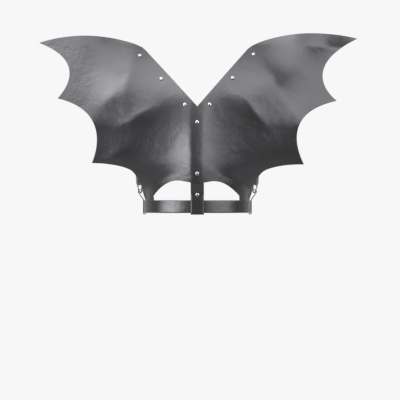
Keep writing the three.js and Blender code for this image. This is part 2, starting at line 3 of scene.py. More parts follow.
import bpy
import numpy as np
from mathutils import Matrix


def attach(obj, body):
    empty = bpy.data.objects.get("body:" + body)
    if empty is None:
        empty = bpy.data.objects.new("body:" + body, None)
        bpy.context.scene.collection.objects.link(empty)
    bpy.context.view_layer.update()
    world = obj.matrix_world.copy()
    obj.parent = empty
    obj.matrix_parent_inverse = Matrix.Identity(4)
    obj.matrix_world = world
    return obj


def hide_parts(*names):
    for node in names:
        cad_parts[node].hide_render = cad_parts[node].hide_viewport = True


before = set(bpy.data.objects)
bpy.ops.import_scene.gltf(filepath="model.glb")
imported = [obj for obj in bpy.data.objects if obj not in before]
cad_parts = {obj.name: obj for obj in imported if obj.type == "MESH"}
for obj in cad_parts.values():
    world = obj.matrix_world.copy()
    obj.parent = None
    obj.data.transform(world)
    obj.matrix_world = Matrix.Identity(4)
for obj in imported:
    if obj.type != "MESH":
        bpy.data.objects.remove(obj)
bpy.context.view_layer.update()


# Studio. A pale floor disc lies well below the harness, in a room that is white beyond it and grey behind the
# camera, so that the leather stays black. The camera stands straight behind the harness, level with the belt.
# Soft boxes give the sheen: two on the left, one on the right, one above, and one beyond for the inside.
FLOOR_Z = -1.0
FLOOR_RADIUS = 1.3
FLOOR_HUB = 0.026
FLOOR_RINGS = 6
FLOOR_SIDES = 64
FLOOR_TONE = (0.3, 0.3, 0.3, 1)
FLOOR_ROUGHNESS = 0.8


def full_turn(steps):
    """Angles of equal steps round a whole turn, without the last one, which is the first again."""
    return np.arange(steps) * 2 * np.pi / steps


def floor_disc():
    """A flat disc: rings of equal steps from a small hub out, each point on its ring's circle."""
    radii = np.linspace(FLOOR_HUB, FLOOR_RADIUS, FLOOR_RINGS)
    ring, turn = np.meshgrid(radii, full_turn(FLOOR_SIDES), indexing="ij")
    points = np.stack([ring * np.cos(turn), ring * np.sin(turn), np.full_like(ring, FLOOR_Z)], axis=-1)
    index = np.arange(ring.size).reshape(ring.shape)
    onward = np.roll(index, -1, axis=1)
    quads = np.stack([index[:-1], index[1:], onward[1:], onward[:-1]], axis=-1).reshape(-1, 4)
    mesh = bpy.data.meshes.new("floor")
    mesh.from_pydata(points.reshape(-1, 3).tolist(), [], quads.tolist() + [index[0].tolist()])
    return bpy.data.objects.new("floor", mesh)


floor = floor_disc()
bpy.context.collection.objects.link(floor)
floor_paint = bpy.data.materials.new("pale_floor")
floor_paint.use_nodes = True
floor_shader = floor_paint.node_tree.nodes["Principled BSDF"]
floor_shader.inputs["Base Color"].default_value = FLOOR_TONE
floor_shader.inputs["Roughness"].default_value = FLOOR_ROUGHNESS
floor.data.materials.append(floor_paint)

# Greys of the room by place, from behind the camera at 0 to beyond the harness at 1.
ROOM_STOPS = ((0.0, 0.18), (0.3, 0.18), (0.75, 0.93), (1.0, 0.93))


def studio_room(stops):
    """The room's light by the direction looked in: a ramp of grey from the camera's side to the far side."""
    world = bpy.data.worlds.new("studio")
    world.use_nodes = True
    nodes, links = world.node_tree.nodes, world.node_tree.links
    direction = nodes.new("ShaderNodeTexCoord")
    split = nodes.new("ShaderNodeSeparateXYZ")
    span = nodes.new("ShaderNodeMapRange")
    span.inputs["From Min"].default_value = -1
    ramp = nodes.new("ShaderNodeValToRGB")
    ramp.color_ramp.interpolation = "EASE"
    for place, _ in stops[1:-1]:
        ramp.color_ramp.elements.new(place)
    for element, (place, grey) in zip(ramp.color_ramp.elements, stops):
        element.position = place
        element.color = (grey, grey, grey, 1)
    links.new(direction.outputs["Generated"], split.inputs[0])
    links.new(split.outputs["Y"], span.inputs["Value"])
    links.new(span.outputs["Result"], ramp.inputs["Fac"])
    links.new(ramp.outputs["Color"], nodes["Background"].inputs["Color"])
    return world


bpy.context.scene.world = studio_room(ROOM_STOPS)
bpy.context.scene.view_settings.view_transform = "Standard"

LAMP_COLOUR = (0.94, 0.935, 1.0)
LAMP_AIM = np.array([0, -0.08, -0.14])
LAMP_DISTANCE = 2.5
SOFT_BOXES = {
    "box_left": {"side_angle": -40, "height_angle": 38, "width": 1.4, "height": 1.3, "glow": 5.2},
    "box_low": {"side_angle": -46, "height_angle": -1, "width": 1.55, "height": 0.9, "glow": 10.8},
    "box_right": {"side_angle": 42, "height_angle": 16, "width": 2.1, "height": 2.3, "glow": 3.9},
    "box_above": {"side_angle": -24, "height_angle": 60, "width": 3.4, "height": 2.2, "glow": 3.8},
    "box_front": {"side_angle": 150, "height_angle": 42, "width": 1.8, "height": 1.8, "glow": 4},
}


def soft_box(name, side_angle, height_angle, width, height, glow):
    """A rectangular lamp that faces the harness, at two angles off the camera's line, as bright as glow."""
    side, up = np.radians(side_angle), np.radians(height_angle)
    lamp = bpy.data.lights.new(name, "AREA")
    lamp.shape = "RECTANGLE"
    lamp.size, lamp.size_y, lamp.energy = width, height, glow * np.pi * width * height
    lamp.color = LAMP_COLOUR
    box = bpy.data.objects.new(name, lamp)
    away = np.array([np.sin(side) * np.cos(up), -np.cos(side) * np.cos(up), np.sin(up)])
    box.location = LAMP_AIM + LAMP_DISTANCE * away
    box.rotation_euler = (np.pi / 2 - up, 0, side)
    box.visible_camera = False
    bpy.context.collection.objects.link(box)


for name, sizes in SOFT_BOXES.items():
    soft_box(name, **sizes)

CAMERA_DISTANCE = 3.5
CAMERA_AIM = (0.0059, -0.060, -0.3371)
FRAME_WIDTH = 0.88
SENSOR_WIDTH = 36.0
lens = bpy.data.cameras.new("camera")
lens.sensor_width = SENSOR_WIDTH
lens.lens = SENSOR_WIDTH * CAMERA_DISTANCE / FRAME_WIDTH
camera = bpy.data.objects.new("camera", lens)
camera.location = (CAMERA_AIM[0], CAMERA_AIM[1] - CAMERA_DISTANCE, CAMERA_AIM[2])
camera.rotation_euler = (np.pi / 2, 0, 0)
bpy.context.collection.objects.link(camera)
bpy.context.scene.camera = camera


# Wing panel. One sheet of smooth black leather cut to both wings, with a V neckline, two arches above the
# waist and a tab at each side that tucks behind the belt. It follows the back, and the wings stand off it.
# Sizes are millimetres, with heights measured from the neckline's corners until a mesh is made.
MM = 0.001
CREST_HEIGHT = 6.0
PANEL_THICKNESS = 1.8
NECK_POINT_Z = -127.5
GRID_REFINE = 4
PANEL_COLUMNS = 64
EDGE_BULGE = 0.35
SMOOTH_BELOW = np.radians(50)
JOIN_DIGITS = 4

# Outline of each wing: the neck corner, the tip and the bends of the top edge between them, and then bands
# from the top down, each with the points where its inner and outer edges end and the bends on the way.
WINGS = {
    "left": {
        "sign": -1, "neck": (116, 2), "tip": (350, 17), "top_bends": ((146, 30), (262, 48)),
        "bands": (
            {"cells": 10, "inner": (0, -127.5),
             "outer": (306, -108), "outer_bends": ((272, -13), (265, -60))},
            {"cells": 9, "inner": (0, -240),
             "outer": (231, -250), "outer_bends": ((210, -132), (209, -198))},
            {"cells": 4, "inner": (0, -296),
             "outer": (150, -263), "outer_bends": ((203, -250), (170, -254))},
            {"cells": 8, "inner": (97, -322), "inner_bends": ((30, -292), (58, -272)),
             "outer": (118.5, -318), "outer_bends": ((136, -269), (124, -292))},
            {"cells": 3, "inner": (94, -350),
             "outer": (111, -350), "outer_bends": ((115.5, -329), (113, -338))},
        ),
    },
    "right": {
        "sign": 1, "neck": (112, 4), "tip": (356, 28), "top_bends": ((148, 38), (270, 52)),
        "bands": (
            {"cells": 10, "inner": (0, -127.5),
             "outer": (306, -113), "outer_bends": ((277, -9), (250, -64))},
            {"cells": 9, "inner": (0, -240),
             "outer": (234, -253), "outer_bends": ((202, -137), (207, -200))},
            {"cells": 4, "inner": (0, -296),
             "outer": (150, -265), "outer_bends": ((205, -252), (170, -256))},
            {"cells": 8, "inner": (93, -322), "inner_bends": ((27, -293), (49, -275)),
             "outer": (118.5, -318), "outer_bends": ((136, -271), (124, -294))},
            {"cells": 3, "inner": (94, -350),
             "outer": (111, -350), "outer_bends": ((115.5, -329), (113, -338))},
        ),
    },
}

# Sections of the back from the belt up: half width and depth of an ellipse, and the share of the half width
# at which the leather leaves it.
BACK_SECTIONS = np.array(
    [
        (-360, 115.7, 83.5, 0.99),
        (-327, 115.7, 83.5, 0.99),
        (-318, 117, 85.6, 0.975),
        (-300, 122, 88.5, 0.82),
        (-270, 130, 89.5, 0.32),
        (-230, 138, 91.5, 0.14),
        (-172, 148, 93.5, 0.08),
        (-127, 150, 91.5, 0.08),
        (-95, 150, 86, 0.1),
        (-60, 150, 73.5, 0.14),
        (-30, 150, 56, 0.2),
        (0, 150, 31, 0.2),
        (20, 150, 13, 0.2),
        (60, 150, -14, 0.2),
    ],
    dtype=[("z", float), ("half_width", float), ("depth", float), ("leave", float)],
)
WING_ROOT_X = 150
WING_ROOT_DEPTH = 88
WING_BLEND = (132, 266)
WING_SWEEP = {"left": 0.02, "right": 0.07}
RIDGE_Z = -166
RIDGE_SOFTNESS = 3
LEAN_ABOVE = {"left": 0.27, "right": 0.29}
LEAN_BELOW = 0.2

# Folds and dents: middle, turn from level in degrees, half length, half width of the flanks and of a flat
# top, softness of the crest, and height out of the outer face. They fade out above the belt, where the tabs
# lie flat.
FOLD_FADE = (-328, -296)
FOLDS = np.array(
    [
        (-146, -28, 80, 70, 24, 0, 8, 8),
        (-190, -106, 52, 50, 26, 0, 6, 4),
        (-126, -146, 27, 45, 22, 0, 3, 7),
        (-180, -236, 35, 32, 18, 0, 8, 4),
        (112, -124, 131, 52, 24, 0, 4, 7),
        (140, -90, 131, 45, 34, 0, 30, 5),
        (177, -82, 122, 75, 28, 0, 8, 6.5),
        (295, 8, -5, 50, 24, 0, 6, -12),
        (-1.5, -215, 90, 120, 40, 13.5, 2, 9),
        (-13, -215, 90, 120, 36, 0, 14, 5),
        (-2, -280, 90, 60, 65, 13, 5, 7),
    ],
    dtype=[(name, float) for name in ("x", "z", "turn", "length", "width", "flat", "soft", "height")],
)


def through_rows(table, column, z):
    """One column of a table by height: cubic pieces, each row's slope being that between its neighbours."""
    heights, values = table["z"], table[column]
    slopes = np.empty_like(values)
    slopes[1:-1] = (values[2:] - values[:-2]) / (heights[2:] - heights[:-2])
    slopes[0] = (values[1] - values[0]) / (heights[1] - heights[0])
    slopes[-1] = (values[-1] - values[-2]) / (heights[-1] - heights[-2])
    z = np.clip(z, heights[0], heights[-1])
    row = np.clip(np.searchsorted(heights, z, side="right") - 1, 0, len(heights) - 2)
    span = heights[row + 1] - heights[row]
    t = (z - heights[row]) / span
    rise = (values[row + 1] - values[row]) * t * t * (3 - 2 * t)
    leaving = t * (1 - t) ** 2 * span * slopes[row]
    arriving = t * t * (1 - t) * span * slopes[row + 1]
    return values[row] + rise + leaving - arriving


def soft_ramp(value, softness):
    """Zero below zero and equal to the value above it, with a rounded knee as wide as the softness."""
    return softness * np.logaddexp(0, value / softness)


def back_depth(x, z):
    """The back as an ellipse at each height, which the leather leaves along its tangent."""
    leave = through_rows(BACK_SECTIONS, "leave", z)
    share = np.abs(x) / through_rows(BACK_SECTIONS, "half_width", z)
    on_body = np.minimum(share, leave)
    rounding = np.sqrt(1 - on_body**2)
    tangent = (share - on_body) * on_body / rounding
    return -through_rows(BACK_SECTIONS, "depth", z) * (rounding - tangent)


def wing_depth(x, z):
    """A swept sheet that leans forward above a soft ridge and a little below it."""
    lean, sweep = (np.where(x < 0, slope["left"], slope["right"]) for slope in (LEAN_ABOVE, WING_SWEEP))
    above = lean * soft_ramp(z - RIDGE_Z, RIDGE_SOFTNESS)
    below = LEAN_BELOW * soft_ramp(RIDGE_Z - z, RIDGE_SOFTNESS)
    return -WING_ROOT_DEPTH + sweep * (np.abs(x) - WING_ROOT_X) + above + below


def fold_height(x, z):
    """Sum of ridges: each falls off exponentially from both edges of its top, and as a bell along its line.

    A smooth step of the height, from nothing to one over the fade, multiplies the sum.
    """
    turn = np.radians(FOLDS["turn"])
    dx, dz = x[..., None] - FOLDS["x"], z[..., None] - FOLDS["z"]
    along = dx * np.cos(turn) + dz * np.sin(turn)
    across = dz * np.cos(turn) - dx * np.sin(turn)
    flat, soft = FOLDS["flat"], FOLDS["soft"]
    fall = (np.hypot(across - flat, soft) + np.hypot(across + flat, soft)) / 2 - np.hypot(flat, soft)
    heights = FOLDS["height"] * np.exp(-((along / FOLDS["length"]) ** 2) - fall / FOLDS["width"])
    step = np.clip((z - FOLD_FADE[0]) / (FOLD_FADE[1] - FOLD_FADE[0]), 0, 1)
    return heights.sum(axis=-1) * step**2 * (3 - 2 * step)


def panel_y(x, z):
    """Depth of the panel's middle: the back, blended into the wing by a smooth step, less the folds."""
    step = np.clip((np.abs(x) - WING_BLEND[0]) / (WING_BLEND[1] - WING_BLEND[0]), 0, 1)
    blend = step**3 * (10 - 15 * step + 6 * step**2)
    return back_depth(x, z) * (1 - blend) + wing_depth(x, z) * blend - fold_height(x, z)


def panel_normal(x, z, step=0.05):
    """Direction out of the panel's outer face, from its slopes over a step to each side."""
    slope_x = (panel_y(x + step, z) - panel_y(x - step, z)) / (2 * step)
    slope_z = (panel_y(x, z + step) - panel_y(x, z - step)) / (2 * step)
    out = np.stack([slope_x, -np.ones_like(slope_x), slope_z], axis=-1)
    return out / np.linalg.norm(out, axis=-1, keepdims=True)


def panel_point(x, z, offset):
    """A point at (x, z) on the panel's middle, moved out of its outer face by the offset."""
    x, z, offset = np.broadcast_arrays(*(np.asarray(part, float) for part in (x, z, offset)))
    middle = np.stack([x, panel_y(x, z), z], axis=-1)
    return middle + panel_normal(x, z) * offset[..., None]


def edge_curve(start, bends, end, t):
    """A cubic curve from start to end with two bends, or a straight line where there are none."""
    start, end = np.array(start, float), np.array(end, float)
    first, second = np.array(bends if bends else (start + (end - start) / 3, start + (end - start) * 2 / 3))
    t = np.asarray(t)[:, None]
    near, far = 3 * first * t * (1 - t) ** 2, 3 * second * t * t * (1 - t)
    return start * (1 - t) ** 3 + near + far + end * t**3


def wing_grid(wing):
    """Rows across a wing from its inner to its outer edge; the top edge's rise fades out down the wing."""
    inner, outer = [], []
    start_inner, start_outer = wing["neck"], wing["tip"]
    for band in wing["bands"]:
        t = np.arange(band["cells"] * GRID_REFINE) / (band["cells"] * GRID_REFINE)
        inner.append(edge_curve(start_inner, band.get("inner_bends"), band["inner"], t))
        outer.append(edge_curve(start_outer, band["outer_bends"], band["outer"], t))
        start_inner, start_outer = band["inner"], band["outer"]
    inner = np.concatenate(inner + [np.array([start_inner], float)])
    outer = np.concatenate(outer + [np.array([start_outer], float)])
    share = np.linspace(0, 1, PANEL_COLUMNS + 1)
    chord = edge_curve(wing["neck"], None, wing["tip"], share)
    rise = edge_curve(wing["neck"], wing["top_bends"], wing["tip"], share) - chord
    fade_rows = (wing["bands"][0]["cells"] + wing["bands"][1]["cells"]) * GRID_REFINE
    fade = np.clip(1 - np.arange(len(inner)) / fade_rows, 0, None) ** 2
    rows = inner[:, None] * (1 - share[:, None]) + outer[:, None] * share[:, None]
    return rows + fade[:, None, None] * rise


def new_piece(name, points, faces, side):
    """A mesh object from points in millimetres, with each point's side of the leather as an attribute."""
    placed = (points - (0, 0, CREST_HEIGHT)) * MM
    mesh = bpy.data.meshes.new(name)
    mesh.from_pydata(placed.tolist(), [], faces)
    mesh.attributes.new("side", "FLOAT", "POINT").data.foreach_set("value", np.asarray(side, np.float32))
    mesh.shade_smooth()
    mesh.set_sharp_from_angle(angle=SMOOTH_BELOW)
    piece = bpy.data.objects.new(name, mesh)
    bpy.context.collection.objects.link(piece)
    return piece


def cells_of(index):
    """The four corners of each cell of a grid of point numbers, once round the cell."""
    return np.stack([index[:-1, :-1], index[:-1, 1:], index[1:, 1:], index[1:, :-1]], axis=-1).reshape(-1, 4)


def wing_shell(wing):
    """Points, faces and sides of one wing: outer face, inner face and a rounded cut edge between them."""
    places = wing_grid(wing)
    x, z = wing["sign"] * places[..., 0], places[..., 1]
    outer = panel_point(x, z, PANEL_THICKNESS / 2)
    inner = panel_point(x, z, -PANEL_THICKNESS / 2)
    middle = panel_point(x, z, 0)
    on_centre = places[:, 0, 0] == 0
    away = np.zeros_like(middle)
    away[0] += middle[0] - middle[1]
    away[-1] += middle[-1] - middle[-2]
    away[:, -1] += middle[:, -1] - middle[:, -2]
    away[~on_centre, 0] += (middle[:, 0] - middle[:, 1])[~on_centre]
    away[on_centre, 0, 0] = 0
    length = np.linalg.norm(away, axis=-1, keepdims=True)
    middle = middle + EDGE_BULGE * away / np.where(length > 0, length, 1)
    back = np.arange(x.size).reshape(x.shape)
    front, edge = back + x.size, back + 2 * x.size
    quads = [cells_of(back), cells_of(front)[:, [0, 3, 2, 1]]]
    free = np.flatnonzero(~(on_centre[:-1] & on_centre[1:]))
    for a, b in (
        ((0, slice(1, None)), (0, slice(None, -1))),
        ((slice(1, None), -1), (slice(None, -1), -1)),
        ((-1, slice(None, -1)), (-1, slice(1, None))),
        ((free, 0), (free + 1, 0)),
    ):
        quads.append(np.stack([back[a], back[b], edge[b], edge[a]], axis=-1))
        quads.append(np.stack([edge[a], edge[b], front[b], front[a]], axis=-1))
    quads = np.concatenate(quads)
    if wing["sign"] < 0:
        quads = quads[:, ::-1]
    points = np.concatenate([outer.reshape(-1, 3), inner.reshape(-1, 3), middle.reshape(-1, 3)])
    side = np.repeat([0.0, 1.0, 0.5], x.size)
    used = np.unique(quads)
    renumber = np.zeros(len(points), int)
    renumber[used] = np.arange(len(used))
    return points[used], renumber[quads], side[used]


def joined(shells):
    """Several shells as one, with points that lie in the same place made one point."""
    points = np.concatenate([shell[0] for shell in shells])
    side = np.concatenate([shell[2] for shell in shells])
    starts = np.cumsum([0] + [len(shell[0]) for shell in shells])
    quads = np.concatenate([shell[1] + start for shell, start in zip(shells, starts)])
    rounded = np.round(points, JOIN_DIGITS)
    _, first, same = np.unique(rounded, axis=0, return_index=True, return_inverse=True)
    return points[first], same.reshape(-1)[quads].tolist(), side[first]


class Wire:
    """A node's output that takes part in sums: each operator adds the Math node that works it out."""

    def __init__(self, finish, socket):
        self.finish, self.socket = finish, socket

    def sum(self, operation, *terms):
        return self.finish.add("ShaderNodeMath", {"operation": operation}, dict(enumerate(terms)))

    def __add__(self, other):
        return self.sum("ADD", self, other)

    def __radd__(self, other):
        return self.sum("ADD", other, self)

    def __sub__(self, other):
        return self.sum("SUBTRACT", self, other)

    def __rsub__(self, other):
        return self.sum("SUBTRACT", other, self)

    def __mul__(self, other):
        return self.sum("MULTIPLY", self, other)

    def __rmul__(self, other):
        return self.sum("MULTIPLY", other, self)

    def __abs__(self):
        return self.sum("ABSOLUTE", self)


class Finish:
    """A material: add() makes any node from its type, its settings and the values or wires of its sockets."""

    def __init__(self, name):
        self.material = bpy.data.materials.new(name)
        self.material.use_nodes = True
        self.tree = self.material.node_tree
        self.shader = self.tree.nodes["Principled BSDF"]

    def plug(self, sockets, values):
        for key, value in values.items():
            if isinstance(value, Wire):
                self.tree.links.new(value.socket, sockets[key])
            else:
                sockets[key].default_value = value

    def add(self, kind, settings=None, inputs=None, output=0):
        node = self.tree.nodes.new(kind)
        for key, value in (settings or {}).items():
            setattr(node, key, value)
        self.plug(node.inputs, inputs or {})
        return Wire(self, node.outputs[output])

    def noise(self, **inputs):
        return self.add("ShaderNodeTexNoise", None, inputs, output="Fac")

    def bump(self, **inputs):
        return self.add("ShaderNodeBump", None, inputs, output="Normal")

    def blend(self, share, low, high):
        sockets = {"Factor": share, 6: low, 7: high}
        return self.add("ShaderNodeMix", {"data_type": "RGBA"}, sockets, output=2)

    def finish(self, **inputs):
        self.plug(self.shader.inputs, {name.replace("_", " "): value for name, value in inputs.items()})
        return self.material


LEATHER_BLACK = (0.0035, 0.0035, 0.0036, 1)
LEATHER_WORN = (0.00595, 0.00595, 0.00612, 1)
LEATHER_EDGE = (0.085, 0.083, 0.082, 1)
SUEDE_DARK = (0.015, 0.014, 0.0135, 1)
SUEDE_PALE = (0.044, 0.041, 0.039, 1)
LEATHER_SHINE = 0.8
WEAR_SHARE, EDGE_SHARE = 0.8, 0.55
CLOUD_ROUGHNESS, FIBRE_ROUGHNESS, EDGE_ROUGHNESS, NAP_ROUGHNESS = 0.14, 0.10, 0.22, 0.42
GRAIN_DEPTH, DRAPE_DEPTH = 0.00025, 0.0026


def leather(name, gloss):
    """Black leather: pebbled pores, soft creases and cloudy wear on the face, a dull edge and a napped back.

    gloss is the face's roughness; the side attribute is 0 on the face, a half on the edge and 1 on the back.
    """
    made = Finish(name)
    place = made.add("ShaderNodeTexCoord", output="Object")
    side = made.add("ShaderNodeAttribute", {"attribute_name": "side"}, output="Fac")
    edge = 1 - abs(2 * side - 1)
    nap = made.add("ShaderNodeMath", {"operation": "GREATER_THAN"}, {0: side, 1: 0.75})
    face = 1 - nap
    cloud = made.noise(Vector=place, Scale=18, Detail=4)
    crease = made.noise(Vector=place, Scale=55, Detail=4, Distortion=0.6)
    fibre = made.noise(Vector=place, Scale=900, Detail=5)
    cracks = {"Vector": place, "Scale": 620}
    pore = made.add("ShaderNodeTexVoronoi", {"feature": "DISTANCE_TO_EDGE"}, cracks, output="Distance")
    tone = made.blend(cloud * WEAR_SHARE, LEATHER_BLACK, LEATHER_WORN)
    tone = made.blend(edge * EDGE_SHARE, tone, LEATHER_EDGE)
    mottle = 0.5 + 1.3 * (crease + cloud - 1) + 1.8 * (fibre - 0.5)
    tone = made.blend(nap, tone, made.blend(mottle, SUEDE_DARK, SUEDE_PALE))
    rough = gloss + CLOUD_ROUGHNESS * (cloud - 0.5) + FIBRE_ROUGHNESS * (fibre - 0.5)
    rough = rough + EDGE_ROUGHNESS * edge + NAP_ROUGHNESS * nap
    grain = made.bump(Strength=0.35, Distance=GRAIN_DEPTH, Height=pore * face + fibre * nap)
    drape = made.bump(Strength=0.6, Distance=DRAPE_DEPTH, Height=crease * 0.25 + cloud, Normal=grain)
    return made.finish(Base_Color=tone, Roughness=rough, Normal=drape, Specular_IOR_Level=LEATHER_SHINE)


wing_leather = leather("wing_leather", gloss=0.36)


def fit(piece, node, material):
    """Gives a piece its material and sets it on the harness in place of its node."""
    piece.data.materials.append(material)
    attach(piece, "root")
    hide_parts(node)
    return piece


wing_panel = fit(
    new_piece("wing_panel_leather", *joined([wing_shell(wing) for wing in WINGS.values()])),
    "wing_panel", wing_leather,
)


# Shoulder straps. Black leather strips that lie under the V's edges, go over the shoulders and down the
# front, and fold round a ring at each side of the waist. Each is a rounded section laid along its way.
STRAP_THICKNESS = 2.0
STRAP_WIDTH = 28.0
STRAP_EDGE = 0.8
STRIP_CELLS = 12
LAYER_GAP = 0.45
STRAP_OFFSET = -(PANEL_THICKNESS / 2 + LAYER_GAP + STRAP_THICKNESS / 2)
STRAP_INSET = 17.5
STRAP_RUN = (7, 178)
STRAP_ROWS = 44
LEAD_ROWS = 8
ROUTE_STEPS = 12
SHOULDER_ROUTE = np.array(
    [
        (135.5, 0, 7, 0.3, 0, 0.95, 28),
        (140, 25, -6, 0.35, 0.55, 0.75, 28),
        (141, 48, -45, 0.4, 0.88, 0.25, 28),
        (138, 62, -110, 0.45, 0.89, 0.05, 28),
        (134, 60, -175, 0.55, 0.83, -0.05, 28),
        (133, 38, -225, 0.8, 0.58, -0.15, 24),
    ],
    dtype=[(name, float) for name in ("x", "y", "z", "out_x", "out_y", "out_z", "width")],
)
STRAP_END_WIDTH = 13.0
RING_MIDDLE = (128.9, 3, -303)
RING_RADIUS = 11.4
RING_WIRE = 1.6
RING_LEAN = 0.2
RING_TURN = np.radians(22)

# The folded end down to its eye: height above the ring's wire, and half the distance between its layers.
EYE_RADIUS, EYE_DROP, EYE_LAYER = 3.2, 2.3, 1.15
EYE_WAY = np.array(
    [(28, EYE_LAYER), (14, EYE_LAYER), (6, 2.3), (0, EYE_RADIUS)],
    dtype=[("height", float), ("layer", float)],
)
EYE_STEPS = 3
FOLD_TURN = np.linspace(0, np.pi, 9)


def unit(vectors):
    """The same directions with length one."""
    return vectors / np.linalg.norm(vectors, axis=-1, keepdims=True)


def strip_section(cells):
    """A strip's section: share of its width, millimetres past it, share of its thickness, and side.

    Both faces are flat and the edges between them are half round.
    """
    flat = np.linspace(-0.5, 0.5, cells + 1)
    turn = np.radians([45, 0, -45])
    share = np.concatenate([flat, np.full(3, 0.5), flat[::-1], np.full(3, -0.5)])
    past = np.concatenate([0 * flat, STRAP_EDGE * np.cos(turn), 0 * flat, -STRAP_EDGE * np.cos(turn)])
    rise = np.concatenate([0 * flat + 0.5, np.sin(turn) / 2, 0 * flat - 0.5, -np.sin(turn) / 2])
    side = np.concatenate([0 * flat, [0.4, 0.5, 0.6], 0 * flat + 1, [0.6, 0.5, 0.4]])
    return share, past, rise, side


STRIP_SHARE, STRIP_PAST, STRIP_RISE, STRIP_SIDE = strip_section(STRIP_CELLS)


def strip_spread(width):
    """Distances of a section's points from the strip's middle line, for one width or for each of many."""
    return STRIP_SHARE * (np.asarray(width)[..., None] - 2 * STRAP_EDGE) + STRIP_PAST


def strip(middle, across, width, thickness):
    """Sections of a strip whose middle runs through points: spread along across, risen square to its way."""
    along = unit(np.gradient(middle, axis=0))
    out = unit(np.cross(across, along))
    spread = np.broadcast_to(strip_spread(width), (len(middle), len(STRIP_SHARE)))
    rise = (STRIP_RISE * thickness)[:, None]
    return middle[:, None] + across[:, None] * spread[..., None] + out[:, None] * rise


def smooth_path(controls, steps):
    """A curve through points: cubic pieces paced by the square root of the distance between the points."""
    before_first, after_last = 2 * controls[:1] - controls[1:2], 2 * controls[-1:] - controls[-2:-1]
    padded = np.concatenate([before_first, controls, after_last])
    pace = np.sqrt(np.linalg.norm(np.diff(padded, axis=0), axis=1))[:, None, None]
    before, start, end, after = (padded[k : len(padded) - 3 + k, None] for k in range(4))
    first, here, last = pace[:-2], pace[1:-1], pace[2:]
    leaving = ((start - before) / first - (end - before) / (first + here)) * here + end - start
    arriving = ((after - end) / last - (after - start) / (here + last)) * here + end - start
    t = (np.arange(steps) / steps)[None, :, None]
    curve = start + (end - start) * t * t * (3 - 2 * t)
    curve = curve + leaving * t * (1 - t) ** 2 - arriving * t * t * (1 - t)
    return np.concatenate([curve.reshape(-1, 3), controls[-1:]])


def between(values, steps):
    """Values at the points of a smooth path, in straight lines from one control to the next."""
    at = np.arange((len(values) - 1) * steps + 1) / steps
    low = np.minimum(at.astype(int), len(values) - 2)
    share = (at - low).reshape((-1,) + (1,) * (values.ndim - 1))
    return values[low] * (1 - share) + values[low + 1] * share


def skin(sections, closed=False):
    """Faces round and along a row of sections, with a flat face over each open end, all turned outwards."""
    index = np.arange(sections[..., 0].size).reshape(sections.shape[:2])
    rows = np.concatenate([index, index[:1]]) if closed else index
    onward = np.roll(rows, -1, axis=1)
    quads = np.stack([rows[:-1], onward[:-1], onward[1:], rows[1:]], axis=-1).reshape(-1, 4)
    points = sections.reshape(-1, 3)
    corners = points[quads] - points.mean(axis=0)
    turned = np.einsum("ij,ij->", corners[:, 0], np.cross(corners[:, 1], corners[:, 2])) < 0
    faces = quads.tolist()
    if not closed:
        faces += [index[0, ::-1].tolist(), index[-1].tolist()]
    return [face[::-1] for face in faces] if turned else faces


def strip_piece(name, sections, closed=False):
    """A strip as a mesh object, with its face, edges and back marked."""
    side = np.tile(STRIP_SIDE, len(sections))
    return new_piece(name, sections.reshape(-1, 3), skin(sections, closed), side)


def neck_place(wing, along, inset):
    """Place on a wing's V: along it from the neck point, and inset from it."""
    rise = np.subtract(wing["neck"], (0, NECK_POINT_Z))
    ahead = rise / np.hypot(*rise)
    x = along * ahead[0] + inset * ahead[1]
    return wing["sign"] * x, NECK_POINT_Z + along * ahead[1] - inset * ahead[0]


def ring_frame(sign):
    """Middle of a side ring, and the directions across it, up through it and out of it."""
    up = unit(np.array([sign * RING_LEAN, 0, 1]))
    out = np.array([sign * np.cos(RING_TURN), -np.sin(RING_TURN), 0])
    out = unit(out - up * (out @ up))
    return np.multiply(RING_MIDDLE, (sign, 1, 1)), np.cross(up, out), up, out


def folded_end(sign):
    """The strap's way in the ring's frame: down its outer layer, half round the wire, up its inner layer."""
    middle, _, up, out = ring_frame(sign)
    height, layer = EYE_WAY["height"], EYE_WAY["layer"]
    round_wire = -EYE_DROP - EYE_RADIUS * np.sin(FOLD_TURN)
    heights = RING_RADIUS + np.concatenate([height, round_wire, height[::-1]])
    layers = np.concatenate([layer, EYE_RADIUS * np.cos(FOLD_TURN), -layer[::-1]])
    return middle + heights[:, None] * up + layers[:, None] * out


